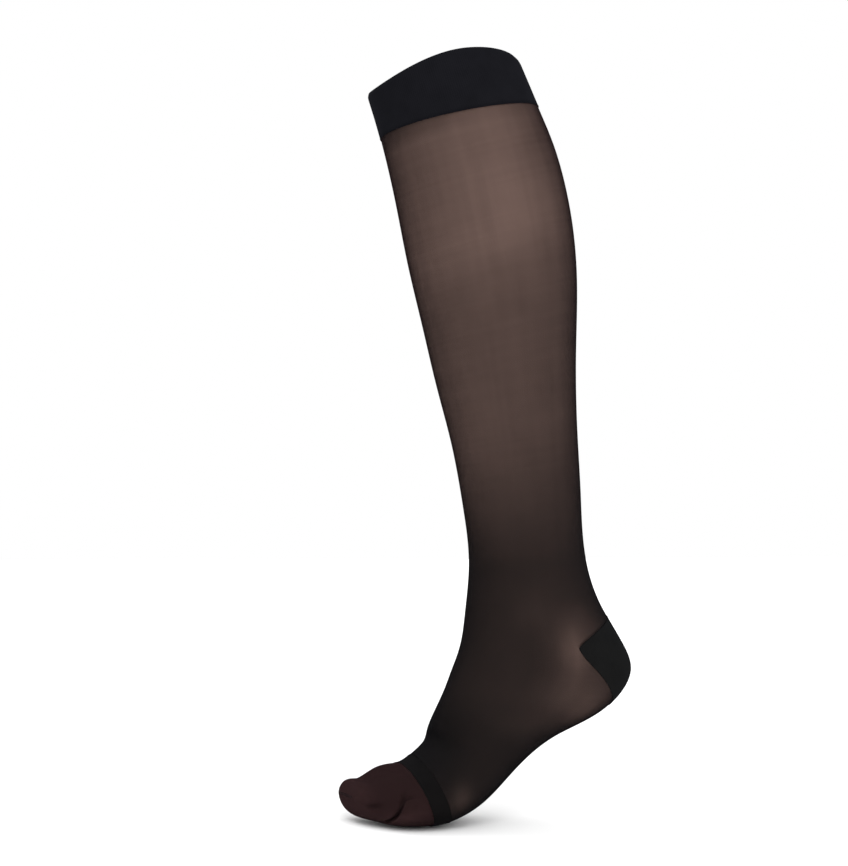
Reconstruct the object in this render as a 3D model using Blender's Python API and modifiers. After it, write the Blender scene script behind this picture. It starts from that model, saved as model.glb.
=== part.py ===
"""A sheer knee-high compression stocking in the hollow form that it has on a left foot with its heel raised.

Metres, +Z up, -Y to the toes, +X to the outer side of the leg. The origin is the centre of the opening
below the knee. One surface, lofted through the sections below, carries all six knitted pieces; each is
a stretch of it between two seams, with its own wall. Run with blender --background --python part.py
"""

from collections import namedtuple

import bpy
import numpy as np

MM = 0.001

# The outer face of the sheer cloth, in millimetres, with the ball of the foot on the ground at up = 0.
# A section runs from a point on the front line (shin, instep, top of the toes) to one on the back line
# (calf, heel, sole). width is its breadth across the leg, fullness moves the widest place towards the
# back line, and squareness is 2 for an ellipse and more for a flatter back or sole.
Section = namedtuple(
    "Section", "name front_out front_aft front_up back_out back_aft back_up width fullness squareness"
)
SECTIONS = (
    Section("mouth", 0, -8, 490, 0, 92, 511, 100, -0.06, 2.5),
    Section("band_foot", 0, 2, 456, 0, 109, 480, 104, 0.03, 2.0),
    Section("upper_calf", 0, 11, 421, 0, 120, 455, 108, 0.06, 2.0),
    Section("calf", 0, 22, 370, 0, 133, 402, 112, 0.10, 2.0),
    Section("lower_calf", 0, 32, 330, 0, 137, 359, 105, 0.10, 2.0),
    Section("taper", 0, 42, 290, 0, 137, 314, 94, 0.08, 2.0),
    Section("shank", 0, 53, 249, 0, 139, 265, 80, 0.05, 2.0),
    Section("small", 0, 61, 206, 0, 143, 218, 68, 0.00, 2.0),
    Section("ankle", 0, 65, 171, 0, 146, 180, 66, -0.05, 2.0),
    Section("above_heel", 0, 62, 138, 0, 157, 145, 69, -0.05, 2.0),
    Section("heel_point", 0, 57, 113, 0, 176, 115, 70, -0.05, 2.0),
    Section("heel", 0, 52, 101, 0, 182, 97, 68, -0.08, 2.1),
    Section("heel_base", 0, 47, 89, 0, 163, 73, 67, -0.05, 2.2),
    Section("arch", -3, 42, 75, 0, 122, 55, 68, 0.00, 2.3),
    Section("waist", -7, 39, 61, 2, 86, 33, 75, 0.03, 2.4),
    Section("tread", -9, 40, 55, 4, 61, 13, 79, 0.03, 2.3),
    Section("ball_rear", -12, 35, 47, 6, 36, 3, 84, 0.03, 2.2),
    Section("ball_front", -14, 26, 40, 6, 24, 2, 87, 0.02, 2.1),
    Section("toes", -17, 11, 37, 5, 5, 3, 80, 0.00, 2.2),
    Section("tips", -22, -4, 29, -9, -7, 5, 63, 0.00, 2.2),
    Section("toe_end", -25, -12, 28, -20, -14, 8, 44, 0.00, 2.2),
    Section("toe_seam", -24, -16, 19, -24, -16, 19, 24, 0.00, 2.0),
)
FRONT = slice(0, 3)
BACK = slice(3, 6)
WIDTH, FULLNESS, SQUARENESS = 6, 7, 8

OPENING_SIDE_RISE = 10.0  # how much higher the opening's edge is at the sides than at the shin and calf

# The heel pocket comes to a point at each side of the foot and is widest at the back of the heel.
POINT_TURN = np.radians(100)  # from the front line, round to the pocket's point
POINT_BLUNTING = np.radians(0.3)  # how far short of its point the pocket's cloth ends
POCKET_RISE = 20.0  # from the points' course up to the pocket's top, at the back
POCKET_DROP = 38.0  # from the points' course down to the pocket's foot, under the heel
# The pocket's edges part evenly all the way to the back where their bow is 1, and sooner where it is less.
POCKET_TOP_BOW, POCKET_FOOT_BOW = 0.75, 0.66

BALL_BAND_ADVANCE = 1.7  # how far the ball band's middle lies forward of the sections named after it
BALL_BAND_SWING = 8.0  # how far the band swings to the toes at its lead, and back at the other side
BALL_BAND_LEAD = np.radians(45)  # from the front line, round to where the band lies furthest forward

SEAM_GAP = 0.5
SHEER_WALL = 1.2
OPAQUE_WALL = 1.4
OPAQUE_PROUD = 0.2  # how far the denser knit stands out of the sheer knit's face
BAND_WALL = 1.6  # two layers, folded over at the top
BAND_PROUD = 0.4

AROUND = 36  # faces round a whole section
LEG_RING_STEP = 18.0
FOOT_RING_STEP = 9.0
WELD_DISTANCE = 0.01  # joins only points that lie on each other
PACE_SPAN = 1.0  # the short length over which the cloth's pace is measured

BLACK_KNIT = (0.011, 0.011, 0.014)
SHEER_KNIT = (0.052, 0.038, 0.034)
SHEER_TOE_KNIT = (0.024, 0.013, 0.013)
KNIT_ROUGHNESS = 0.75


def clear_scene():
    for obj in list(bpy.data.objects):
        bpy.data.objects.remove(obj, do_unlink=True)


def spline(knots, values, at):
    """Natural cubic spline: the smooth curve through each column of values, straight at both ends."""
    step = np.diff(knots)[:, None]
    slope = np.diff(values, axis=0) / step
    system = np.eye(len(knots))
    right = np.zeros_like(values)
    for i in range(1, len(knots) - 1):
        before, after = step[i - 1, 0], step[i, 0]
        system[i, i - 1 : i + 2] = before, 2 * (before + after), after
        right[i] = 6 * (slope[i] - slope[i - 1])
    bend = np.linalg.solve(system, right)
    i = np.clip(np.searchsorted(knots, at, side="right") - 1, 0, len(knots) - 2)
    before = (at - knots[i])[:, None]
    after = (knots[i + 1] - at)[:, None]
    cubic = (bend[i] * after**3 + bend[i + 1] * before**3) / (6 * step[i])
    line = (values[i] / step[i] - bend[i] * step[i] / 6) * after
    return cubic + line + (values[i + 1] / step[i] - bend[i + 1] * step[i] / 6) * before


def unit(vector):
    return vector / np.linalg.norm(vector)


# A place along the stocking is the mean of the distances run on its front line and on its back line.
TABLE = np.array([section[1:] for section in SECTIONS], float)
FRONT_STEPS = np.linalg.norm(np.diff(TABLE[:, FRONT], axis=0), axis=1)
BACK_STEPS = np.linalg.norm(np.diff(TABLE[:, BACK], axis=0), axis=1)
ALONG = np.append(0, np.cumsum((FRONT_STEPS + BACK_STEPS) / 2))
PLACE = {section.name: along for section, along in zip(SECTIONS, ALONG)}
MOUTH_CENTRE = (TABLE[0, FRONT] + TABLE[0, BACK]) / 2
MOUTH_UPWARD = unit(np.cross((1, 0, 0), TABLE[0, BACK] - TABLE[0, FRONT]))


def skin(along, turn):
    """Points of the surface, in mm from the opening's centre, at a place along it and a turn from the
    front line. A section is its line from front to back, with a rounded half-breadth on each side."""
    along, turn = np.broadcast_arrays(along, turn)
    row = spline(ALONG, TABLE, along.ravel()).reshape(*along.shape, -1)
    front, back = row[..., FRONT], row[..., BACK]
    ahead, aside = np.cos(turn), np.sin(turn)
    power = np.where(ahead < 0, row[..., SQUARENESS], 2.0)
    reach = (np.abs(ahead) ** power + np.abs(aside) ** power) ** (-1 / power)
    share = (1 - reach * ahead) / 2
    points = front + share[..., None] * (back - front)
    points[..., 0] += row[..., WIDTH] / 2 * reach * aside * (1 - row[..., FULLNESS] * ahead)
    fade = np.clip(1 - along / PLACE["band_foot"], 0, 1)
    rise = OPENING_SIDE_RISE * (aside**2 - 0.5) * fade
    return points + rise[..., None] * MOUTH_UPWARD - MOUTH_CENTRE


def pace(along, turn):
    """Millimetres of cloth for each unit of along, which differ between the front line and the back."""
    ahead, behind = skin(along - PACE_SPAN / 2, turn), skin(along + PACE_SPAN / 2, turn)
    return np.linalg.norm(behind - ahead, axis=-1) / PACE_SPAN


def level(name):
    """A seam that is one whole section."""
    return lambda turn: np.full_like(turn, PLACE[name])


def pocket_share(turn, bow):
    """0 forward of the heel pocket's points and 1 at the back, bowed between them."""
    share = (1 - np.cos(turn)) / 2
    at_point = (1 - np.cos(POINT_TURN)) / 2
    return np.clip((share - at_point) / (1 - at_point), 0, 1) ** bow


def pocket_top(turn):
    return PLACE["heel_point"] - POCKET_RISE * pocket_share(turn, POCKET_TOP_BOW)


def pocket_foot(turn):
    return PLACE["heel_point"] + POCKET_DROP * pocket_share(turn, POCKET_FOOT_BOW)


def ball_band_shift(turn):
    return BALL_BAND_ADVANCE + BALL_BAND_SWING * np.cos(turn - BALL_BAND_LEAD)


def ball_band_rear(turn):
    return PLACE["ball_rear"] + ball_band_shift(turn)


def ball_band_front(turn):
    return PLACE["ball_front"] + ball_band_shift(turn)


def above(seam):
    """The lower edge of the piece above a seam, half of the gap short of it."""
    return lambda turn: seam(turn) - SEAM_GAP / 2 / pace(seam(turn), turn)


def below(seam):
    """The upper edge of the piece below a seam, half of the gap past it."""
    return lambda turn: seam(turn) + SEAM_GAP / 2 / pace(seam(turn), turn)


def knit(name, colour):
    material = bpy.data.materials.new(name)
    material.use_nodes = True
    shader = material.node_tree.nodes["Principled BSDF"]
    shader.inputs["Base Color"].default_value = (*colour, 1)
    shader.inputs["Roughness"].default_value = KNIT_ROUGHNESS
    shader.inputs["Metallic"].default_value = 0.0
    return material


def cloth(name, start, end, turns, material, wall, proud, ring_step):
    """One piece of cloth from the edge start to the edge end, each a function of the turn. Its grid is
    welded where it meets itself and thickened inwards, but for what stands proud of the surface."""
    first, last = start(turns), end(turns)
    rings = int(np.ceil((last - first).max() / ring_step)) + 1
    share = np.linspace(0, 1, rings)[:, None]
    points = skin(first + share * (last - first), turns) * MM
    columns = len(turns)
    corners = [ring * columns + column for ring in range(rings - 1) for column in range(columns - 1)]
    faces = [(here, here + columns, here + columns + 1, here + 1) for here in corners]
    mesh = bpy.data.meshes.new(name)
    mesh.from_pydata(points.reshape(-1, 3).tolist(), [], faces)
    mesh.shade_smooth()
    mesh.materials.append(material)
    obj = bpy.data.objects.new(name, mesh)
    weld = obj.modifiers.new("weld", "WELD")
    weld.merge_threshold = WELD_DISTANCE * MM
    solidify = obj.modifiers.new("wall", "SOLIDIFY")
    solidify.thickness = wall * MM
    solidify.offset = 2 * proud / wall - 1
    solidify.use_quality_normals = True
    return obj


def build():
    clear_scene()
    collection = bpy.data.collections.new("compression_stocking")
    bpy.context.scene.collection.children.link(collection)
    black = knit("black_knit", BLACK_KNIT)
    sheer = knit("sheer_knit", SHEER_KNIT)
    sheer_toe = knit("sheer_toe_knit", SHEER_TOE_KNIT)
    tube = np.linspace(0, 2 * np.pi, AROUND + 1)
    pocket_tip = POINT_TURN + POINT_BLUNTING
    behind = tube[(tube > pocket_tip) & (tube < 2 * np.pi - pocket_tip)]
    heel = np.concatenate([[pocket_tip], behind, [2 * np.pi - pocket_tip]])
    tube_at_heel = np.union1d(tube, heel[[0, -1]])
    band_foot = level("band_foot")
    band = (black, BAND_WALL, BAND_PROUD, LEG_RING_STEP)
    leg = (sheer, SHEER_WALL, 0, LEG_RING_STEP)
    foot = (sheer, SHEER_WALL, 0, FOOT_RING_STEP)
    dense = (black, OPAQUE_WALL, OPAQUE_PROUD, FOOT_RING_STEP)
    toe = (sheer_toe, SHEER_WALL, 0, FOOT_RING_STEP)
    pieces = (
        cloth("top_band", level("mouth"), above(band_foot), tube, *band),
        cloth("leg", below(band_foot), above(pocket_top), tube_at_heel, *leg),
        cloth("heel_pocket", below(pocket_top), above(pocket_foot), heel, *dense),
        cloth("foot", below(pocket_foot), above(ball_band_rear), tube_at_heel, *foot),
        cloth("ball_band", below(ball_band_rear), above(ball_band_front), tube, *dense),
        cloth("toe_pocket", below(ball_band_front), level("toe_seam"), tube, *toe),
    )
    for piece in pieces:
        collection.objects.link(piece)


build()
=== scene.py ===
"""A sheer black knee-high compression stocking in its hollow, worn form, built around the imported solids.

Metres, +Z up, -Y to the toes, +X to the outer side of the leg. The origin is the centre of the opening
below the knee. Lengths named in a section are millimetres.
"""

from collections import namedtuple

import bpy
import numpy as np
from mathutils import Matrix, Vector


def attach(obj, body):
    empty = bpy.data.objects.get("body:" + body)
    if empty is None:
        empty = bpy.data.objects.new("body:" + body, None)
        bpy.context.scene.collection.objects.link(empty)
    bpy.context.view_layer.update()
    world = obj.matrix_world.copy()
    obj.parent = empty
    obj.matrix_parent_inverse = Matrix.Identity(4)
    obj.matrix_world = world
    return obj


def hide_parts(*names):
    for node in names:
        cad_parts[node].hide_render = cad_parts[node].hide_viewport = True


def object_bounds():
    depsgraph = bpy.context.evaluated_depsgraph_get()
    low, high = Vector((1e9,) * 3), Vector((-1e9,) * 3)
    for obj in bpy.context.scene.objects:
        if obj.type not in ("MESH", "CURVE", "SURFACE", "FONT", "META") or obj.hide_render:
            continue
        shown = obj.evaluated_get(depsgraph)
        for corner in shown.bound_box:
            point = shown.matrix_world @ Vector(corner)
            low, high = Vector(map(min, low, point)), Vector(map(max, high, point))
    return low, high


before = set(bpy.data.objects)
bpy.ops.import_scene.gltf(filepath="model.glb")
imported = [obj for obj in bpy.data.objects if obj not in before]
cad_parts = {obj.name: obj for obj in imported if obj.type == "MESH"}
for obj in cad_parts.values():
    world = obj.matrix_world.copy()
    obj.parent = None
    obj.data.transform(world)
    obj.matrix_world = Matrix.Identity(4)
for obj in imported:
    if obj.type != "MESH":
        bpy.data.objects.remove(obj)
cad_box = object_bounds()

# ---------------------------------------------------------------------------------------------------
# Leg and foot. One circular-knitted tube of fine black nylon over elastane, from the knee band to the
# ball of the foot, with the heel pocket let into it. It is knitted closer and closer towards the ankle,
# where it squeezes most, and shows its light best where the calf spreads it.
# ---------------------------------------------------------------------------------------------------
MM = 0.001

# Each section of the cloth's outer face runs from a point on the front line to one on the back line. A
# point lies so far to the leg's outer side, aft and up from the ground under the ball of the foot. width
# is the section's breadth, fullness moves its widest place back, and squareness is 2 for an ellipse and
# more for a flatter back or sole.
Section = namedtuple(
    "Section", "name front_out front_aft front_up back_out back_aft back_up width fullness squareness"
)
SECTIONS = (
    Section("mouth", 0, -8, 490, 0, 92, 511, 100, -0.06, 2.5),
    Section("band_foot", 0, 2, 456, 0, 109, 480, 104, 0.03, 2.0),
    Section("upper_calf", 0, 11, 421, 0, 120, 455, 108, 0.06, 2.0),
    Section("calf", 0, 22, 370, 0, 133, 402, 112, 0.10, 2.0),
    Section("lower_calf", 0, 32, 330, 0, 137, 359, 105, 0.10, 2.0),
    Section("taper", 0, 42, 290, 0, 137, 314, 94, 0.08, 2.0),
    Section("shank", 0, 53, 249, 0, 139, 265, 80, 0.05, 2.0),
    Section("small", 0, 61, 206, 0, 143, 218, 68, 0.00, 2.0),
    Section("ankle", 0, 65, 171, 0, 146, 180, 66, -0.05, 2.0),
    Section("above_heel", 0, 62, 138, 0, 157, 145, 69, -0.05, 2.0),
    Section("heel_point", 0, 57, 113, 0, 176, 115, 70, -0.05, 2.0),
    Section("heel", 0, 52, 101, 0, 182, 97, 68, -0.08, 2.1),
    Section("heel_base", 0, 47, 89, 0, 163, 73, 67, -0.05, 2.2),
    Section("arch", -3, 42, 75, 0, 122, 55, 68, 0.00, 2.3),
    Section("waist", -7, 39, 61, 2, 86, 33, 75, 0.03, 2.4),
    Section("tread", -9, 40, 55, 4, 61, 13, 79, 0.03, 2.3),
    Section("ball_rear", -12, 35, 47, 6, 36, 3, 84, 0.03, 2.2),
    Section("ball_front", -14, 26, 40, 6, 24, 2, 87, 0.02, 2.1),
    Section("toes", -17, 11, 37, 5, 5, 3, 80, 0.00, 2.2),
    Section("tips", -22, -4, 29, -9, -7, 5, 63, 0.00, 2.2),
    Section("toe_end", -25, -12, 28, -20, -14, 8, 44, 0.00, 2.2),
    Section("toe_seam", -24, -16, 19, -24, -16, 19, 24, 0.00, 2.0),
)
FRONT, BACK = slice(0, 3), slice(3, 6)
WIDTH, FULLNESS, SQUARENESS = 6, 7, 8
OPENING_SIDE_RISE = 10.0  # how much higher the opening's edge is at the sides than at the shin and calf


def spline(knots, values, at):
    """Natural cubic spline: the smooth curve through each column of values, straight at both ends. One
    set of equations gives the bend at every knot. Between two knots the curve is the line from the one
    value to the other, bowed by a cubic share of the bend at each."""
    step = np.diff(knots)
    slope = np.diff(values, axis=0) / step[:, None]
    inner = np.diag(2 * (step[:-1] + step[1:])) + np.diag(step[1:-1], 1) + np.diag(step[1:-1], -1)
    bend = np.zeros_like(values)
    bend[1:-1] = np.linalg.solve(inner, 6 * np.diff(slope, axis=0))
    i = np.clip(np.searchsorted(knots, at, side="right") - 1, 0, len(knots) - 2)
    past, left, span = (at - knots[i])[:, None], (knots[i + 1] - at)[:, None], step[i][:, None]
    cubic = (bend[i] * left**3 + bend[i + 1] * past**3) / (6 * span)
    line = (values[i] / span - bend[i] * span / 6) * left
    return cubic + line + (values[i + 1] / span - bend[i + 1] * span / 6) * past


TABLE = np.array([section[1:] for section in SECTIONS], float)
FRONT_STEPS = np.linalg.norm(np.diff(TABLE[:, FRONT], axis=0), axis=1)
BACK_STEPS = np.linalg.norm(np.diff(TABLE[:, BACK], axis=0), axis=1)
ALONG = np.append(0, np.cumsum((FRONT_STEPS + BACK_STEPS) / 2))
PLACE = {section.name: along for section, along in zip(SECTIONS, ALONG)}
MOUTH_CENTRE = (TABLE[0, FRONT] + TABLE[0, BACK]) / 2
MOUTH_UPWARD = np.cross((1, 0, 0), TABLE[0, BACK] - TABLE[0, FRONT])
MOUTH_UPWARD /= np.linalg.norm(MOUTH_UPWARD)


def skin(along, turn):
    """Points of the outer face, in mm, at the distance along from the opening and the angle turn round
    from the front line. A superellipse, whose reach is 1 over the root of the sum of the powers of the
    cosine and sine, gives the share of the way from the front line to the back line and of the half
    breadth. The opening's edge rises to the sides with the square of the sine."""
    row = spline(ALONG, TABLE, along.ravel()).reshape(*along.shape, -1)
    front, back = row[..., FRONT], row[..., BACK]
    ahead, aside = np.cos(turn), np.sin(turn)
    power = np.where(ahead < 0, row[..., SQUARENESS], 2.0)
    reach = (np.abs(ahead) ** power + np.abs(aside) ** power) ** (-1 / power)
    share = (1 - reach * ahead) / 2
    points = front + share[..., None] * (back - front)
    points[..., 0] += row[..., WIDTH] / 2 * reach * aside * (1 - row[..., FULLNESS] * ahead)
    fade = np.clip(1 - along / PLACE["band_foot"], 0, 1)
    rise = OPENING_SIDE_RISE * (aside**2 - 0.5) * fade
    return points + rise[..., None] * MOUTH_UPWARD - MOUTH_CENTRE


NUDGE = 0.2  # the skin's slopes are taken from a nudge before each point to a nudge after it
NUDGE_ROUND = NUDGE / 30  # the angle that is about as far round the foot


def cloth_face(along, turn, proud=0.0):
    """The skin moved outwards by proud: its normal is the cross product of its slopes round and along."""
    along, turn = np.broadcast_arrays(along, turn)
    here = np.clip(along, NUDGE, PLACE["toe_seam"] - 2 * NUDGE)
    down = skin(here + NUDGE, turn) - skin(here - NUDGE, turn)
    round_it = skin(here, turn + NUDGE_ROUND) - skin(here, turn - NUDGE_ROUND)
    normal = np.cross(down, round_it)
    normal /= np.linalg.norm(normal, axis=-1, keepdims=True)
    return skin(along, turn) + normal * np.asarray(proud)[..., None]


# The heel pocket's edges, which the tube is knitted on from. It comes to a point at each side.
POINT_TURN = np.radians(100)  # from the front line, round to the points
POCKET_RISE, POCKET_DROP = 20.0, 38.0  # how far its edges part, up and down from the points to the back
POCKET_TOP_BOW, POCKET_FOOT_BOW = 0.75, 0.66  # less than 1 where the edges part sooner than evenly
BALL_BAND_ADVANCE = 1.7  # how far the ball band's middle lies forward of the sections named after it
BALL_BAND_SWING = 8.0  # how far the band swings to the toes at its lead, and back at the other side
BALL_BAND_LEAD = np.radians(45)  # from the front line, round to where the band lies furthest forward


def pocket_share(turn, bow):
    """0 forward of the pocket's points and 1 at the back. Between them it is the share of the way aft,
    half of 1 less the cosine of the turn, counted from the points and to the power of bow."""
    share = (1 - np.cos(turn)) / 2
    at_point = (1 - np.cos(POINT_TURN)) / 2
    return np.clip((share - at_point) / (1 - at_point), 0, 1) ** bow


def pocket_top(turn):
    """The pocket's upper edge: the points' place, less the rise times the share."""
    return PLACE["heel_point"] - POCKET_RISE * pocket_share(turn, POCKET_TOP_BOW)


def pocket_foot(turn):
    """The pocket's lower edge: the points' place and the drop times the share."""
    return PLACE["heel_point"] + POCKET_DROP * pocket_share(turn, POCKET_FOOT_BOW)


def ball_band_shift(turn):
    """How far the ball band is moved to the toes: the advance, and a cosine wave once round."""
    return BALL_BAND_ADVANCE + BALL_BAND_SWING * np.cos(turn - BALL_BAND_LEAD)


def ball_band_rear(turn):
    """The ball band's edge towards the heel."""
    return PLACE["ball_rear"] + ball_band_shift(turn)


def ball_band_front(turn):
    """The ball band's edge towards the toes."""
    return PLACE["ball_front"] + ball_band_shift(turn)


# How the knit looks down the tube, at each place and so many mm beyond it. sheer is the share of light
# that passes between the yarns of its face straight on, and warm is 0 where the yarns behind them are
# close and dark and 1 where they are spread so far that their brown cast shows. The last column is painted
# shade: the share that warm loses on the front line, and twice what sheer loses there. Where it is below
# 0 it is painted light.
Tone = namedtuple("Tone", "place beyond sheer warm shin")
TONES = (
    # Under the band's foot the last column is deepest: a painted shadow of the band on the leg.
    Tone("band_foot", 0, 0.51, 0.90, 0.35),
    Tone("band_foot", 12, 0.53, 1.00, 0.08),
    Tone("upper_calf", 0, 0.53, 0.98, 0.08),
    Tone("upper_calf", 30, 0.535, 1.00, 0.05),
    Tone("calf", -4, 0.53, 0.97, 0.00),
    Tone("calf", 20, 0.50, 0.80, -0.10),
    Tone("lower_calf", 0, 0.50, 0.71, -0.06),
    Tone("lower_calf", 32, 0.50, 0.63, -0.15),
    Tone("shank", -7, 0.50, 0.62, -0.12),
    Tone("shank", 18, 0.47, 0.53, -0.16),
    Tone("small", 0, 0.46, 0.39, -0.10),
    Tone("ankle", 4, 0.45, 0.18, 0.10),
    Tone("above_heel", 0, 0.45, 0.20, 0.15),
    Tone("heel_point", 0, 0.45, 0.195, 0.15),
    Tone("heel_base", 0, 0.45, 0.195, 0.20),
    Tone("waist", -12, 0.45, 0.08, 0.20),
    Tone("ball_rear", -20, 0.45, 0.08, 0.25),
    Tone("ball_front", -2, 0.45, 0.07, 0.25),
    Tone("ball_front", 2, 0.50, 0.43, -0.05),
    Tone("tips", 0, 0.50, 0.48, -0.05),
    Tone("toe_end", 0, 0.51, 0.75, -0.05),
    Tone("toe_seam", 0, 0.52, 0.85, -0.05),
)

# Soft-edged ovals, each on both sides of the leg or foot. Those by the heel and ankle are partly where the
# cloth is drawn tight over the bones and partly painted light; the one at the side of the upper calf and the
# one at the toe's underside are painted light, and the darker one at the back of the upper calf is painted
# shade. turn is its middle, in degrees from the front line. reach, in mm, and spread, in degrees, are how far
# from there it has faded to a third, and sheer and warm are what it adds.
Patch = namedtuple("Patch", "place beyond turn reach spread sheer warm")
STRETCH_AND_LIGHT_PATCHES = (
    Patch("upper_calf", 5, 118, 45, 20, -0.04, 0.00),
    Patch("upper_calf", 40, 76, 42, 36, 0.02, 0.00),
    Patch("above_heel", 2, 70, 12, 14, 0.00, 0.05),
    Patch("above_heel", 15, 108, 15, 22, 0.03, 0.18),
    Patch("heel_point", 3, 97, 17, 13, 0.08, 0.38),
    Patch("heel", 15, 108, 20, 24, 0.07, 0.27),
    Patch("heel_base", 5, 130, 15, 16, 0.07, 0.32),
    Patch("heel_base", 26, 98, 12, 22, 0.01, 0.07),
    Patch("waist", 34, 108, 9, 24, 0.05, 0.18),
    Patch("toes", 5, 132, 16, 24, 0.00, 0.45),
)

# The painted shade along the front line fades to the sides with this power of the cosine.
SHIN_SHADE_NARROWING = 1.5  # the power of the cosine with which the shin share fades to the sides
SHEER_LEAST, SHEER_MOST = 0.02, 0.9


def tones(along, turn):
    """The tone table read along the tube, less its painted shade towards the front line, plus each patch
    as a bell in distance along and angle round: stretch, painted light and painted shade."""
    places = np.array([PLACE[tone.place] + tone.beyond for tone in TONES])
    values = np.array([tone[2:] for tone in TONES])
    sheer, warm, shin_shade = (np.interp(along, places, column) for column in values.T)
    # Painted shade, strongest on the front line and none from the sides back.
    ahead = np.clip(np.cos(turn), 0, 1) ** SHIN_SHADE_NARROWING
    sheer, warm = sheer * (1 - shin_shade * ahead / 2), warm * (1 - shin_shade * ahead)
    # Each patch adds its stretch, painted light and painted shade as a bell.
    for patch in STRETCH_AND_LIGHT_PATCHES:
        off = (along - PLACE[patch.place] - patch.beyond) / patch.reach
        away = np.abs((turn + np.pi) % (2 * np.pi) - np.pi) - np.radians(patch.turn)
        bell = np.exp(-(off**2) - (away / np.radians(patch.spread)) ** 2)
        sheer, warm = sheer + patch.sheer * bell, warm + patch.warm * bell
    return np.clip(sheer, SHEER_LEAST, SHEER_MOST), np.clip(warm, 0, 1)


def cloth_grid(along, turn, proud=0.0, crease_shade=0.0):
    """A grid of the cloth: its points, where they are along and round it, and how much painted crease shade
    lies there, from 0 for none to 1 where all of the brown cast is taken out."""
    along, turn, crease_shade = np.broadcast_arrays(along, turn, crease_shade)
    return cloth_face(along, turn, proud), along, turn, crease_shade


def knit_mesh(name, grids):
    """A mesh of the grids, with the cloth's coordinates as a UV map, u once round and v once from end to
    end, and its tones as attributes, warm less where painted crease shade lies."""
    faces, first = [], 0
    for points, *_ in grids:
        rows, columns = points.shape[:2]
        index = first + np.arange(rows * columns).reshape(rows, columns)
        corners = (index[:-1, :-1], index[1:, :-1], index[1:, 1:], index[:-1, 1:])
        faces.append(np.stack(corners, axis=-1).reshape(-1, 4))
        first += rows * columns
    faces = np.concatenate(faces)
    points = np.concatenate([grid[0].reshape(-1, 3) for grid in grids]) * MM
    along, turn, crease_shade = (np.concatenate([grid[i].ravel() for grid in grids]) for i in (1, 2, 3))
    mesh = bpy.data.meshes.new(name)
    mesh.from_pydata(points, [], faces.tolist())
    uv = mesh.uv_layers.new(name="knit")
    around = np.stack([turn / (2 * np.pi), along / ALONG[-1]], axis=-1)
    uv.uv.foreach_set("vector", around[faces.ravel()].astype(np.float32).ravel())
    sheer, warm = tones(along, turn)
    # Painted crease shade takes the brown cast out of warm.
    for attribute, values in (("sheer", sheer), ("warm", warm * (1 - crease_shade))):
        layer = mesh.attributes.new(attribute, "FLOAT", "POINT")
        layer.data.foreach_set("value", values.astype(np.float32))
    mesh.shade_smooth()
    return mesh


WELD_REACH = 0.01  # points this near each other, where edges meet, are one


def knit_object(name, mesh, wall, *materials):
    """The mesh welded where its edges meet and thickened inwards into a closed wall. A second material
    goes on its back."""
    for material in materials:
        mesh.materials.append(material)
    obj = bpy.data.objects.new(name, mesh)
    bpy.context.scene.collection.objects.link(obj)
    weld = obj.modifiers.new("weld", "WELD")
    weld.merge_threshold = WELD_REACH * MM
    if wall:
        solidify = obj.modifiers.new("wall", "SOLIDIFY")
        solidify.thickness = wall * MM
        solidify.offset = -1
        solidify.use_quality_normals = True
        solidify.material_offset = len(materials) - 1
    return obj


def linear(hex_colour):
    """An sRGB colour such as "#1c1c20" as linear red, green, blue and 1."""
    shares = np.array([int(hex_colour[i : i + 2], 16) for i in (1, 3, 5)]) / 255
    curved = np.where(shares <= 0.04045, shares / 12.92, ((shares + 0.055) / 1.055) ** 2.4)
    return (*curved.tolist(), 1.0)


def add(tree, kind, sockets=None, **settings):
    """Adds a node: settings are its own, and each of sockets is a value or another node's output."""
    node = tree.nodes.new(kind)
    for key, value in settings.items():
        setattr(node, key, value)
    for key, value in (sockets or {}).items():
        if isinstance(value, bpy.types.NodeSocket):
            tree.links.new(value, node.inputs[key])
        else:
            node.inputs[key].default_value = value
    return node


def bare_material(name):
    """A new material with an empty node tree, and its output node."""
    material = bpy.data.materials.new(name)
    material.use_nodes = True
    material.node_tree.nodes.clear()
    return material, material.node_tree, material.node_tree.nodes.new("ShaderNodeOutputMaterial")


COURSE_DEPTH = 0.5  # how deep the courses are drawn, for each depth of the wales' ribs


def stitches(tree, wales, courses):
    """Jersey stitches on the cloth's UV map, from 0 in the gaps to 1 on the yarn: a rounded rib for each
    wale, a cosine wave round the tube, crossed by courses, a sine wave down it that bends into a V on
    each rib. wales are counted once round, and courses from the opening to the toe seam."""
    place = add(tree, "ShaderNodeSeparateXYZ", {0: add(tree, "ShaderNodeUVMap", uv_map="knit").outputs[0]})
    wale = add(tree, "ShaderNodeMath", {0: place.outputs[0], 1: float(wales)}, operation="MULTIPLY")
    swing = add(tree, "ShaderNodeMath", {0: wale.outputs[0], 1: 0.5}, operation="PINGPONG")
    rib = add(tree, "ShaderNodeMath", {0: swing.outputs[0], 1: 2 * np.pi}, operation="MULTIPLY")
    rib = add(tree, "ShaderNodeMath", {0: rib.outputs[0]}, operation="COSINE")
    course = add(tree, "ShaderNodeMath", {0: place.outputs[1], 1: float(courses)}, operation="MULTIPLY")
    course = add(tree, "ShaderNodeMath", {0: course.outputs[0], 1: swing.outputs[0]}, operation="ADD")
    course = add(tree, "ShaderNodeMath", {0: course.outputs[0], 1: 2 * np.pi}, operation="MULTIPLY")
    course = add(tree, "ShaderNodeMath", {0: course.outputs[0]}, operation="SINE")
    both = add(
        tree,
        "ShaderNodeMath",
        {0: course.outputs[0], 1: COURSE_DEPTH, 2: rib.outputs[0]},
        operation="MULTIPLY_ADD",
    )
    most = 1 + COURSE_DEPTH
    return add(
        tree,
        "ShaderNodeMapRange",
        {"Value": both.outputs[0], "From Min": -most, "From Max": most, "To Min": 0.0, "To Max": 1.0},
    ).outputs[0]


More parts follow.
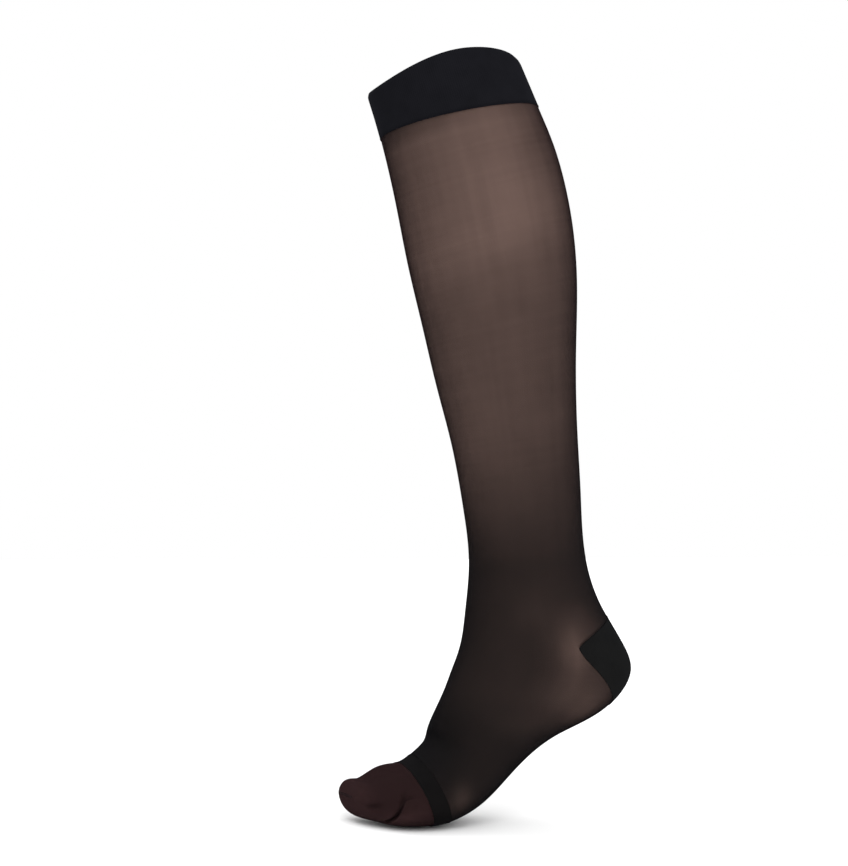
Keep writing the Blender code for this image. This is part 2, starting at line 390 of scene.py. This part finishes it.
def round_the_tube(tree, cycles_round, cycles_down):
    """A place for noise on the tube, which meets itself: the turn as a point on a circle, and the
    distance down. The circle is so wide that the noise has so many cycles round it."""
    place = add(tree, "ShaderNodeSeparateXYZ", {0: add(tree, "ShaderNodeUVMap", uv_map="knit").outputs[0]})
    angle = add(tree, "ShaderNodeMath", {0: place.outputs[0], 1: 2 * np.pi}, operation="MULTIPLY")
    across = add(tree, "ShaderNodeMath", {0: angle.outputs[0]}, operation="SINE")
    ahead = add(tree, "ShaderNodeMath", {0: angle.outputs[0]}, operation="COSINE")
    point = add(
        tree, "ShaderNodeCombineXYZ", {0: across.outputs[0], 1: ahead.outputs[0], 2: place.outputs[1]}
    )
    radius = cycles_round / (2 * np.pi)
    scale = (radius, radius, cycles_down)
    return add(tree, "ShaderNodeMapping", {0: point.outputs[0], "Scale": scale}).outputs[0]


SHEER_WALES = 180  # real ones are 0.7 mm apart on the calf; drawn at 1.9 mm, so that they show
SHEER_COURSES = 330  # real ones are 0.5 mm apart; drawn at 1.8 mm


def yarns(tree, stitch, close, spread):
    """Matt yarns, of the colour close where they lie close and spread where they are spread out, and a
    little paler on the ribs of the stitches than between them. The ribs stand up to 0.1 mm high."""
    warm = add(tree, "ShaderNodeAttribute", attribute_name="warm").outputs["Fac"]
    colour = add(
        tree, "ShaderNodeMix", {"Factor": warm, "A": linear(close), "B": linear(spread)}, data_type="RGBA"
    )
    paler = add(tree, "ShaderNodeMapRange", {"Value": stitch, "To Min": 0.95, "To Max": 1.05})
    colour = add(
        tree,
        "ShaderNodeVectorMath",
        {0: colour.outputs[2], "Scale": paler.outputs[0]},
        operation="SCALE",
    )
    bump = add(tree, "ShaderNodeBump", {"Strength": 0.1, "Distance": 0.1 * MM, "Height": stitch})
    return add(
        tree,
        "ShaderNodeBsdfPrincipled",
        {
            "Base Color": colour.outputs[0],
            "Roughness": 0.6,
            "Specular IOR Level": 0.0,
            "Normal": bump.outputs[0],
        },
    ).outputs[0]


def backing_knit(name, close, spread):
    """The yarns behind the see-through face, which close the cloth and give it its brown cast."""
    material, tree, output = bare_material(name)
    stitch = stitches(tree, SHEER_WALES, SHEER_COURSES)
    tree.links.new(yarns(tree, stitch, close, spread), output.inputs[0])
    return material


# The unevenness of a knit this fine. The first two are cycles of noise round the tube and down it.
BARRE = (3, 260)  # courses a little tighter or looser than their neighbours: bars 2.3 mm high
STREAKS = (70, 3)  # the same in the wales: streaks 5 mm wide on the calf and 200 mm long
MOTTLE = 45.0  # cycles a metre in every direction: clouds of 22 mm
UNEVENNESS = 0.06  # the most by which all three together change the share of light that passes
GRAZING = 0.05  # the least cosine, so that the cloth's very edge isn't a division by nothing


def sheer_knit(name, close, spread, passing):
    """Fine see-through knit. Light passes between its yarns, less where the cloth turns away, because it
    goes through more of them: what passes is the straight-on share to the power of 1 over the cosine.
    It takes the colour passing from their edges. The share is uneven: barred round, streaked down the
    tube and mottled."""
    material, tree, output = bare_material(name)
    stitch = stitches(tree, SHEER_WALES, SHEER_COURSES)
    share = add(tree, "ShaderNodeAttribute", attribute_name="sheer").outputs["Fac"]
    barre = round_the_tube(tree, *BARRE)
    barre = add(tree, "ShaderNodeTexNoise", {"Vector": barre, "Scale": 1.0, "Detail": 3.0})
    streaks = round_the_tube(tree, *STREAKS)
    streaks = add(tree, "ShaderNodeTexNoise", {"Vector": streaks, "Scale": 1.0, "Detail": 2.0})
    mottle = add(tree, "ShaderNodeTexCoord").outputs["Object"]
    mottle = add(tree, "ShaderNodeTexNoise", {"Vector": mottle, "Scale": MOTTLE, "Detail": 2.0})
    uneven = add(tree, "ShaderNodeMath", {0: barre.outputs[0], 1: mottle.outputs[0]}, operation="ADD")
    uneven = add(tree, "ShaderNodeMath", {0: uneven.outputs[0], 1: streaks.outputs[0]}, operation="ADD")
    spans = {"From Min": 1.0, "From Max": 2.0, "To Min": 1 - UNEVENNESS, "To Max": 1 + UNEVENNESS}
    uneven = add(tree, "ShaderNodeMapRange", {"Value": uneven.outputs[0], **spans})
    gaps = add(tree, "ShaderNodeMapRange", {"Value": stitch, "To Min": 1.03, "To Max": 0.97})
    share = add(tree, "ShaderNodeMath", {0: share, 1: gaps.outputs[0]}, operation="MULTIPLY")
    share = add(tree, "ShaderNodeMath", {0: share.outputs[0], 1: uneven.outputs[0]}, operation="MULTIPLY")
    turned = add(tree, "ShaderNodeLayerWeight", {"Blend": 0.5})
    cosine = add(tree, "ShaderNodeMath", {0: 1.0, 1: turned.outputs["Facing"]}, operation="SUBTRACT")
    cosine = add(tree, "ShaderNodeMath", {0: cosine.outputs[0], 1: GRAZING}, operation="MAXIMUM")
    thicker = add(tree, "ShaderNodeMath", {0: 1.0, 1: cosine.outputs[0]}, operation="DIVIDE")
    passed = add(tree, "ShaderNodeMath", {0: share.outputs[0], 1: thicker.outputs[0]}, operation="POWER")
    clear = add(tree, "ShaderNodeBsdfTransparent", {"Color": linear(passing)})
    both = add(
        tree,
        "ShaderNodeMixShader",
        {0: passed.outputs[0], 1: yarns(tree, stitch, close, spread), 2: clear.outputs[0]},
    )
    tree.links.new(both.outputs[0], output.inputs[0])
    return material


SHEER_WALL = 0.4
INLAY_OUT, INLAY_WALL = -0.15, 0.1  # the layer of elastic, inside the wall
EDGE_TUCK = 0.6  # how far the tube runs under the edge of the denser knit that is joined to it
LEG_LAP = 1.0  # how far it runs up inside the knee band
COLUMNS = 180
LEG_RINGS, FOOT_RINGS = 110, 64
BEHIND_POINT = np.radians(0.2)  # two more columns stand so far behind the heel pocket's points

# Near-black nylon over brown-cast elastic: the leg is brown where it is spread and black where it is close.
nylon = sheer_knit("sheer_black_nylon", "#121213", "#1b1415", "#fff8f5")
elastic = backing_knit("covered_elastic", "#161314", "#a8938b")

point = POINT_TURN + BEHIND_POINT
round_tube = np.union1d(np.linspace(0, 2 * np.pi, COLUMNS + 1), (point, 2 * np.pi - point))
under = EDGE_TUCK * (np.cos(round_tube) < np.cos(POINT_TURN))


def rings(first, last, count):
    """Places spaced evenly from the edge first to the edge last, a row for each ring."""
    return first + np.linspace(0, 1, count)[:, None] * (last - first)


leg_start = np.full_like(round_tube, PLACE["band_foot"] - LEG_LAP)
leg = rings(leg_start, pocket_top(round_tube) + under, LEG_RINGS)
foot = rings(pocket_foot(round_tube) - under, ball_band_rear(round_tube) + EDGE_TUCK, FOOT_RINGS)
tube = knit_object(
    "leg_and_foot_knit",
    knit_mesh("leg_and_foot_knit", [cloth_grid(leg, round_tube), cloth_grid(foot, round_tube)]),
    SHEER_WALL,
    nylon,
)
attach(tube, "root")
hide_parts("leg", "foot")

# The inlay: covered elastic laid through the nylon's loops, which gives the cloth its brown cast.
inlay = knit_object(
    "leg_and_foot_inlay",
    knit_mesh("leg_and_foot_inlay", [cloth_grid(part, round_tube, INLAY_OUT) for part in (leg, foot)]),
    INLAY_WALL,
    elastic,
)
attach(inlay, "root")

# ---------------------------------------------------------------------------------------------------
# Knee band. Dense black knit of covered elastic, knitted twice as long as it shows, folded over at the
# top and linked to the leg's first course at its foot.
# ---------------------------------------------------------------------------------------------------
BAND_OUT, BAND_IN = 0.40, -0.75  # its faces, from the sheer knit's face
BAND_LAP = 0.2  # how far its foot reaches down over the leg
BAND_FOLD = 0.9  # how far down from the edge the fold's roundness reaches
BAND_TUCK, BAND_TUCK_REACH = 1.3, 2.2  # how far the folded edge draws in, and over what distance
BAND_RINGS, FOLD_RINGS = 26, 9
BAND_COLUMNS = 180
BAND_COURSES = 480  # real ones are 0.4 mm apart; drawn at 1.25 mm, so that they show
DENSE_WALES = 230  # real ones are 0.5 mm apart; drawn at 1.4 mm on the band and 0.9 mm at the ball
DENSE_MOTTLE = 90.0  # cycles a metre: clouds of 11 mm
DENSE_STITCH = 0.6  # how much the stitches count in its tone, when the mottle counts 1
DENSE_DEEP, DENSE_PALE = 0.72, 1.28  # between the stitches and on them, as shares of the yarn's colour


def dense_knit(name, colour, courses):
    """Close matt knit that lets nothing through: dark yarn with rounded wales and a soft nap, so that it
    looks flat and even, with fine ribs."""
    material, tree, output = bare_material(name)
    yarn = stitches(tree, DENSE_WALES, courses)
    mottle = add(tree, "ShaderNodeTexCoord").outputs["Object"]
    mottle = add(tree, "ShaderNodeTexNoise", {"Vector": mottle, "Scale": DENSE_MOTTLE, "Detail": 4.0})
    tone = add(
        tree,
        "ShaderNodeMath",
        {0: yarn, 1: DENSE_STITCH, 2: mottle.outputs[0]},
        operation="MULTIPLY_ADD",
    )
    deep, pale = (np.array(linear(colour)[:3]) * share for share in (DENSE_DEEP, DENSE_PALE))
    mixed = add(
        tree,
        "ShaderNodeMix",
        {"Factor": tone.outputs[0], "A": (*deep, 1.0), "B": (*pale, 1.0)},
        data_type="RGBA",
    )
    bump = add(tree, "ShaderNodeBump", {"Strength": 0.5, "Distance": 0.15 * MM, "Height": yarn})
    shader = add(
        tree,
        "ShaderNodeBsdfPrincipled",
        {
            "Base Color": mixed.outputs[2],
            "Roughness": 0.75,
            "Specular IOR Level": 0.0,
            "Sheen Weight": 0.01,
            "Sheen Roughness": 0.5,
            "Sheen Tint": linear("#b9bfd0"),
            "Normal": bump.outputs[0],
        },
    )
    tree.links.new(shader.outputs[0], output.inputs[0])
    return material


def band_profile():
    """Up the inner face, round the fold as a half circle and down the outer face, as (along, proud),
    closed across its foot. Its rings lie closer towards the fold, and a bell draws the edge in."""
    foot_at = PLACE["band_foot"] + BAND_LAP
    middle, half = (BAND_OUT + BAND_IN) / 2, (BAND_OUT - BAND_IN) / 2
    down = BAND_FOLD + (foot_at - BAND_FOLD) * np.linspace(0, 1, BAND_RINGS) ** 2
    up_inside = down[:0:-1]
    fold = np.linspace(np.pi, 0, FOLD_RINGS)
    down_outside = down[1:]
    along = np.concatenate([up_inside, BAND_FOLD * (1 - np.sin(fold)), down_outside])
    proud = np.concatenate(
        [np.full_like(up_inside, BAND_IN), middle + half * np.cos(fold), np.full_like(down_outside, BAND_OUT)]
    )
    proud = proud - BAND_TUCK * np.exp(-((along / BAND_TUCK_REACH) ** 2))
    return np.append(along, along[0]), np.append(proud, proud[0])


band_along, band_proud = band_profile()
band_turn = np.linspace(0, 2 * np.pi, BAND_COLUMNS + 1)
band_black = dense_knit("dense_black_elastic_knit", "#111114", BAND_COURSES)
band_grid = cloth_grid(band_along[:, None], band_turn, band_proud[:, None])
band = knit_object("top_band_knit", knit_mesh("top_band_knit", [band_grid]), 0, band_black)
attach(band, "root")
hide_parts("top_band")

# The linking: a round chain of loops over the join. Each loop swells the cord and turns a little round
# it, so the radius is a mean and a wave that runs on with the turn and with the angle round the cord.
LINKS, LINK_RADIUS, LINK_SWELL = 240, 0.32, 0.06
LINK_BELOW, LINK_PROUD = 0.3, 0.18  # where its middle lies, from the seam and from the sheer knit's face
LINK_COLUMNS, LINK_SIDES = 1440, 10

link_turn = np.linspace(0, 2 * np.pi, LINK_COLUMNS + 1)
link_side = np.linspace(0, 2 * np.pi, LINK_SIDES + 1)[:, None]
link_radius = LINK_RADIUS + LINK_SWELL * np.cos(LINKS * link_turn + link_side)
link_along = PLACE["band_foot"] + LINK_BELOW + link_radius * np.cos(link_side)
link_grid = cloth_grid(link_along, link_turn, LINK_PROUD - link_radius * np.sin(link_side))
linking = knit_object("band_linking", knit_mesh("band_linking", [link_grid]), 0, band_black)
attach(linking, "root")

# ---------------------------------------------------------------------------------------------------
# Heel pocket. Opaque reinforced knit, made to and fro on half the needles and closed to a point at each
# side of the foot, so that its edges are crisp.
# ---------------------------------------------------------------------------------------------------
DENSE_WALL = 0.7
DENSE_PROUD = 0.2
EDGE_RIB, EDGE_RIB_WIDTH = 0.14, 0.8  # the held stitches along an edge stand out so far, over this width
POCKET_RINGS = 64
POCKET_COURSES = 520  # real ones are 0.4 mm apart; drawn at 1.15 mm


def dense_grid(first, last, turn, count):
    """A stretch of dense knit between two edges, its rows closer at them (half a cosine wave from one to
    the other), with a rib along each: a bell in the distance from it."""
    share = (1 - np.cos(np.linspace(0, np.pi, count)))[:, None] / 2
    along = first + share * (last - first)
    from_edge = np.minimum(along - first, last - along)
    return cloth_grid(along, turn, DENSE_PROUD + EDGE_RIB * np.exp(-((from_edge / EDGE_RIB_WIDTH) ** 2)))


behind = round_tube[(round_tube >= point) & (round_tube <= 2 * np.pi - point)]
pocket_grid = dense_grid(pocket_top(behind), pocket_foot(behind), behind, POCKET_RINGS)
pocket = knit_object(
    "heel_pocket_knit",
    knit_mesh("heel_pocket_knit", [pocket_grid]),
    DENSE_WALL,
    dense_knit("dense_black_heel_knit", "#111111", POCKET_COURSES),
)
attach(pocket, "root")
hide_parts("heel_pocket")

# ---------------------------------------------------------------------------------------------------
# Ball band. A ring of denser courses round the ball of the foot, where the compression ends.
# ---------------------------------------------------------------------------------------------------
BALL_RINGS = 28
BALL_COURSES = 560  # real ones are 0.4 mm apart; drawn at 1.1 mm

ball_grid = dense_grid(ball_band_rear(round_tube), ball_band_front(round_tube), round_tube, BALL_RINGS)
ball = knit_object(
    "ball_band_knit",
    knit_mesh("ball_band_knit", [ball_grid]),
    DENSE_WALL,
    dense_knit("dense_black_ball_knit", "#0d0c0c", BALL_COURSES),
)
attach(ball, "root")
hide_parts("ball_band")

# ---------------------------------------------------------------------------------------------------
# Toe pocket. Sheer knit without compression, closer than on the leg, closed by a flat seam at the tips.
# ---------------------------------------------------------------------------------------------------
TOE_COLUMNS, TOE_RINGS = 300, 112

# Creases in the slack cloth, each centred at a place and a turn. heading is the angle between it and the
# way to the toes, length and width are its reach from end to end and from its middle to its side, depth
# is how far in it lies, and bow is how far its ends curl to one side. dark is how much painted shade lies
# along its trough, where it takes out the brown cast. The angles are in degrees.
Crease = namedtuple("Crease", "place beyond turn heading length width depth bow dark")
CREASES = (
    Crease("toes", 9.8, 117, 80, 48, 1.6, 2.6, 1.0, 0.95),
    Crease("toes", 3.5, 80, 20, 10, 1.5, 0.8, 0.0, 0.45),
    Crease("tips", 4.0, 96, 60, 13, 2.8, 0.9, -0.8, 0.45),
    Crease("toes", 13.0, 250, 96, 22, 1.6, 1.0, -1.5, 0.50),
    Crease("toes", 2.0, 215, 70, 16, 2.0, 0.5, 1.0, 0.25),
)
TOE_RADIUS = 30.0  # the toe pocket's mean radius, which turns angles into mm
SHOULDER, SHOULDER_WIDTH = 0.25, 2.5  # its sides rise by a share of its depth, over so many widths
SEAM_EASE = 2.0  # creases and puckers end over this distance before the seam, where the sides meet
PUCKERS, PUCKER_DEPTH, PUCKER_REACH = 14, 0.10, 4.0  # the small gathers at the seam


def creases(along, turn):
    """How far in the cloth lies, in mm, and how much painted shade lies in its creases. A crease is a bell
    across it, with a wider, lower bell taken off for its shoulders, and fades towards its ends with the
    fourth power of the distance; its painted shade is the bell of its trough alone. The puckers are a cosine
    round the seam that fades away from it."""
    inward, crease_shade = np.zeros_like(along), np.zeros_like(along)
    for crease in CREASES:
        heading = np.radians(crease.heading)
        down = along - PLACE[crease.place] - crease.beyond
        sideways = ((turn - np.radians(crease.turn) + np.pi) % (2 * np.pi) - np.pi) * TOE_RADIUS
        ahead = (down * np.cos(heading) + sideways * np.sin(heading)) / (crease.length / 2)
        aside = sideways * np.cos(heading) - down * np.sin(heading) - crease.bow * ahead**2
        aside = aside / crease.width
        fade = np.exp(-(ahead**4))
        trough, shoulders = np.exp(-(aside**2)), np.exp(-((aside / SHOULDER_WIDTH) ** 2))
        inward += crease.depth * fade * (trough - SHOULDER * shoulders)
        # Painted shade along the crease's trough.
        crease_shade = np.maximum(crease_shade, crease.dark * fade * trough)
    near_seam = np.exp(-(PLACE["toe_seam"] - along) / PUCKER_REACH)
    return inward + PUCKER_DEPTH * near_seam * np.cos(PUCKERS * turn), crease_shade


toe_turn = np.linspace(0, 2 * np.pi, TOE_COLUMNS + 1)
toe_start, toe_end = ball_band_front(toe_turn) - EDGE_TUCK, np.full_like(toe_turn, PLACE["toe_seam"])
toe_along, toe_turns = np.broadcast_arrays(rings(toe_start, toe_end, TOE_RINGS), toe_turn)
# The creases' depths and their painted shade.
toe_inward, toe_crease_shade = creases(toe_along, toe_turns)
toe_slack = np.clip((PLACE["toe_seam"] - toe_along) / SEAM_EASE, 0, 1)
toe_grid = cloth_grid(toe_along, toe_turns, -toe_inward * toe_slack, toe_crease_shade)

# Its face is a redder black than the leg's, and the back of its wall is a dark, dull brown.
toe = knit_object(
    "toe_pocket_knit",
    knit_mesh("toe_pocket_knit", [toe_grid]),
    SHEER_WALL,
    sheer_knit("sheer_black_toe_face", "#110b0b", "#2d2021", "#fff8f6"),
    backing_knit("brown_toe_back", "#120e0e", "#4a3737"),
)
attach(toe, "root")
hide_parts("toe_pocket")

# The toe seam: a flat bead of linked loops across the tips, in the toe's own yarn, thinning out at its
# two ends. Its section is an ellipse, and each loop swells it a little in a wave that turns round it.
SEAM_LENGTH, SEAM_HIGH, SEAM_DEEP = 25.0, 0.55, 0.9  # from end to end, and half its height and depth
SEAM_LOOPS, SEAM_SWELL = 22, 0.16  # loops in each half, and the share by which one swells the bead
SEAM_COLUMNS, SEAM_SIDES = 264, 12
SEAM_TILT = np.radians(20)  # its deep way points forward and so much down

seam_at = np.linspace(-1, 1, SEAM_COLUMNS + 1)
seam_side = np.linspace(0, 2 * np.pi, SEAM_SIDES + 1)[:, None]
seam_thinning = np.sqrt(np.clip(1 - seam_at**6, 0, 1))
seam_size = seam_thinning * (1 + SEAM_SWELL * np.cos(SEAM_LOOPS * 2 * np.pi * seam_at + seam_side))
seam_deep, seam_high = SEAM_DEEP * seam_size * np.cos(seam_side), SEAM_HIGH * seam_size * np.sin(seam_side)
seam_middle = TABLE[-1, FRONT] - MOUTH_CENTRE
seam_points = np.stack(
    [
        seam_middle[0] + SEAM_LENGTH / 2 * seam_at + 0 * seam_side,
        seam_middle[1] + seam_deep * np.cos(SEAM_TILT) - seam_high * np.sin(SEAM_TILT),
        seam_middle[2] + seam_deep * np.sin(SEAM_TILT) + seam_high * np.cos(SEAM_TILT),
    ],
    axis=-1,
)
seam_grid = (
    seam_points,
    np.full(seam_points.shape[:2], PLACE["toe_seam"]),
    np.broadcast_to(np.pi / 2 - seam_at * np.pi / 2, seam_points.shape[:2]),
    np.zeros(seam_points.shape[:2]),
)
toe_seam = knit_object(
    "toe_seam_knit",
    knit_mesh("toe_seam_knit", [seam_grid]),
    0,
    dense_knit("linked_toe_seam", "#1f1718", BALL_COURSES),
)
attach(toe_seam, "root")

# ---------------------------------------------------------------------------------------------------
# Studio: a pale floor under the ball of the foot, white surroundings and two wide soft lamps.
# ---------------------------------------------------------------------------------------------------
FLOOR_SIDE = 40.0  # metres, so that its edge shows in no view

floor_height, half_side = cad_box[0].z, FLOOR_SIDE / 2
corners = [(x * half_side, y * half_side, floor_height) for x, y in ((-1, -1), (1, -1), (1, 1), (-1, 1))]
floor_mesh = bpy.data.meshes.new("floor")
floor_mesh.from_pydata(corners, [], [(0, 1, 2, 3)])
floor = bpy.data.objects.new("floor", floor_mesh)
bpy.context.scene.collection.objects.link(floor)
floor_paint, floor_tree, floor_output = bare_material("pale_matt_floor")
floor_shader = add(floor_tree, "ShaderNodeBsdfDiffuse", {"Color": linear("#ececec")})
floor_tree.links.new(floor_shader.outputs[0], floor_output.inputs[0])
floor_mesh.materials.append(floor_paint)

world = bpy.data.worlds.new("white_studio")
world.use_nodes = True
world.node_tree.nodes["Background"].inputs["Color"].default_value = (1, 1, 1, 1)
world.node_tree.nodes["Background"].inputs["Strength"].default_value = 1.0
bpy.context.scene.world = world

# A lamp stands at its azimuth, counted from the toes' side round to the leg's outer side, and at its
# elevation. softness is how wide it looks from the stocking. All three are in degrees.
Lamp = namedtuple("Lamp", "name azimuth elevation strength softness")
for lamp in (Lamp("key", 85, 35, 2.0, 60), Lamp("fill", 265, 35, 2.0, 60)):
    sun = bpy.data.lights.new(lamp.name, "SUN")
    sun.energy = lamp.strength
    sun.angle = np.radians(lamp.softness)
    stand = bpy.data.objects.new(lamp.name, sun)
    bpy.context.scene.collection.objects.link(stand)
    stand.rotation_euler = (np.radians(90 - lamp.elevation), 0, np.radians(lamp.azimuth))

# The camera stands by the outer side of the foot, 1.1 m away and low, and looks slightly up.
CAMERA_PLACE = np.array((1.0151, -0.4303, -0.3185))
CAMERA_AZIMUTH, CAMERA_PITCH = 65.0, 3.9
CAMERA_TURN = 2.61  # to the left of the line that the azimuth gives
LENS, SENSOR = 68.9, 36.0  # focal length and sensor width, in mm

camera_data = bpy.data.cameras.new("camera")
camera_data.lens, camera_data.sensor_width = LENS, SENSOR
camera = bpy.data.objects.new("camera", camera_data)
bpy.context.scene.collection.objects.link(camera)
camera.matrix_world = (
    Matrix.Translation(CAMERA_PLACE)
    @ Matrix.Rotation(np.radians(CAMERA_AZIMUTH + CAMERA_TURN), 4, "Z")
    @ Matrix.Rotation(np.radians(90 + CAMERA_PITCH), 4, "X")
)
bpy.context.scene.camera = camera
bpy.context.scene.view_settings.view_transform = "Standard"
